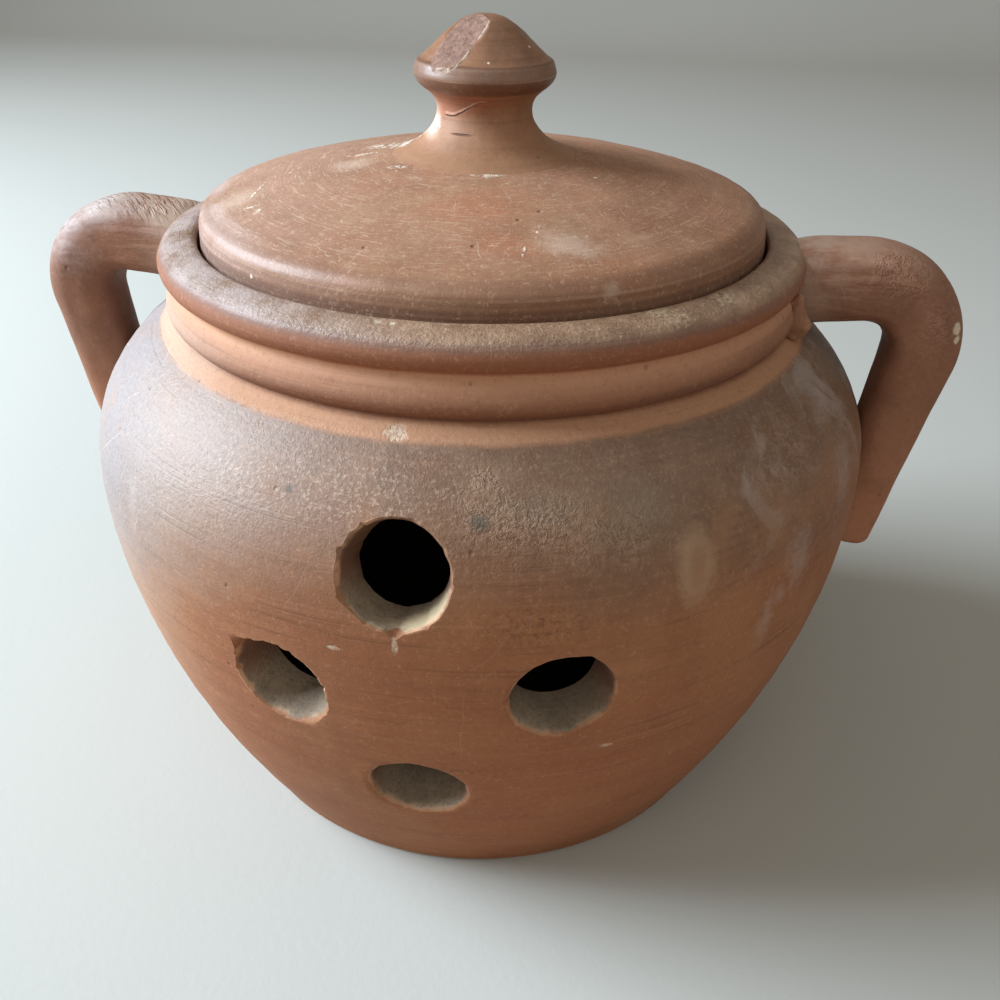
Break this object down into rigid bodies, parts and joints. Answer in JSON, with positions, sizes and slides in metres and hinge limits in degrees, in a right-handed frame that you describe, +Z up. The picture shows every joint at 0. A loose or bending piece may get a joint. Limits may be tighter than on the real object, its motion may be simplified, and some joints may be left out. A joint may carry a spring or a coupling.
{
  "type": "garlic keeper jar",
  "caption": "Round-bellied earthenware jar with vent holes through its front, strap handles at its sides and a lift-off inset lid with a waisted knob.",
  "frame": {"origin": "centre of the foot's underside, on the jar's axis", "axes": "+Z up along the jar's axis; the vent holes face -Y; the handles lie along X"},
  "size_m": [0.1906, 0.16, 0.158],
  "materials": {
    "jar_clay": "unglazed, with a dry slip on the shoulder",
    "handle_clay": "unglazed, smoothed by hand",
    "lid_clay": "unglazed, with chalky scratches",
    "knob_clay": "unglazed, darkened by handling"
  },
  "bodies": {
    "jar": {"jar_body": "jar_clay", "handle_right": "handle_clay", "handle_left": "handle_clay", "handle_right_wad": "jar_clay"},
    "lid": {"lid_disc": "lid_clay", "lid_knob": "knob_clay"}
  },
  "joints": [
    {"name": "lid_lift", "type": "slide", "parent": "jar", "child": "lid", "axis": [0, 0, 1], "range_m": [0, 0.06]}
  ]
}
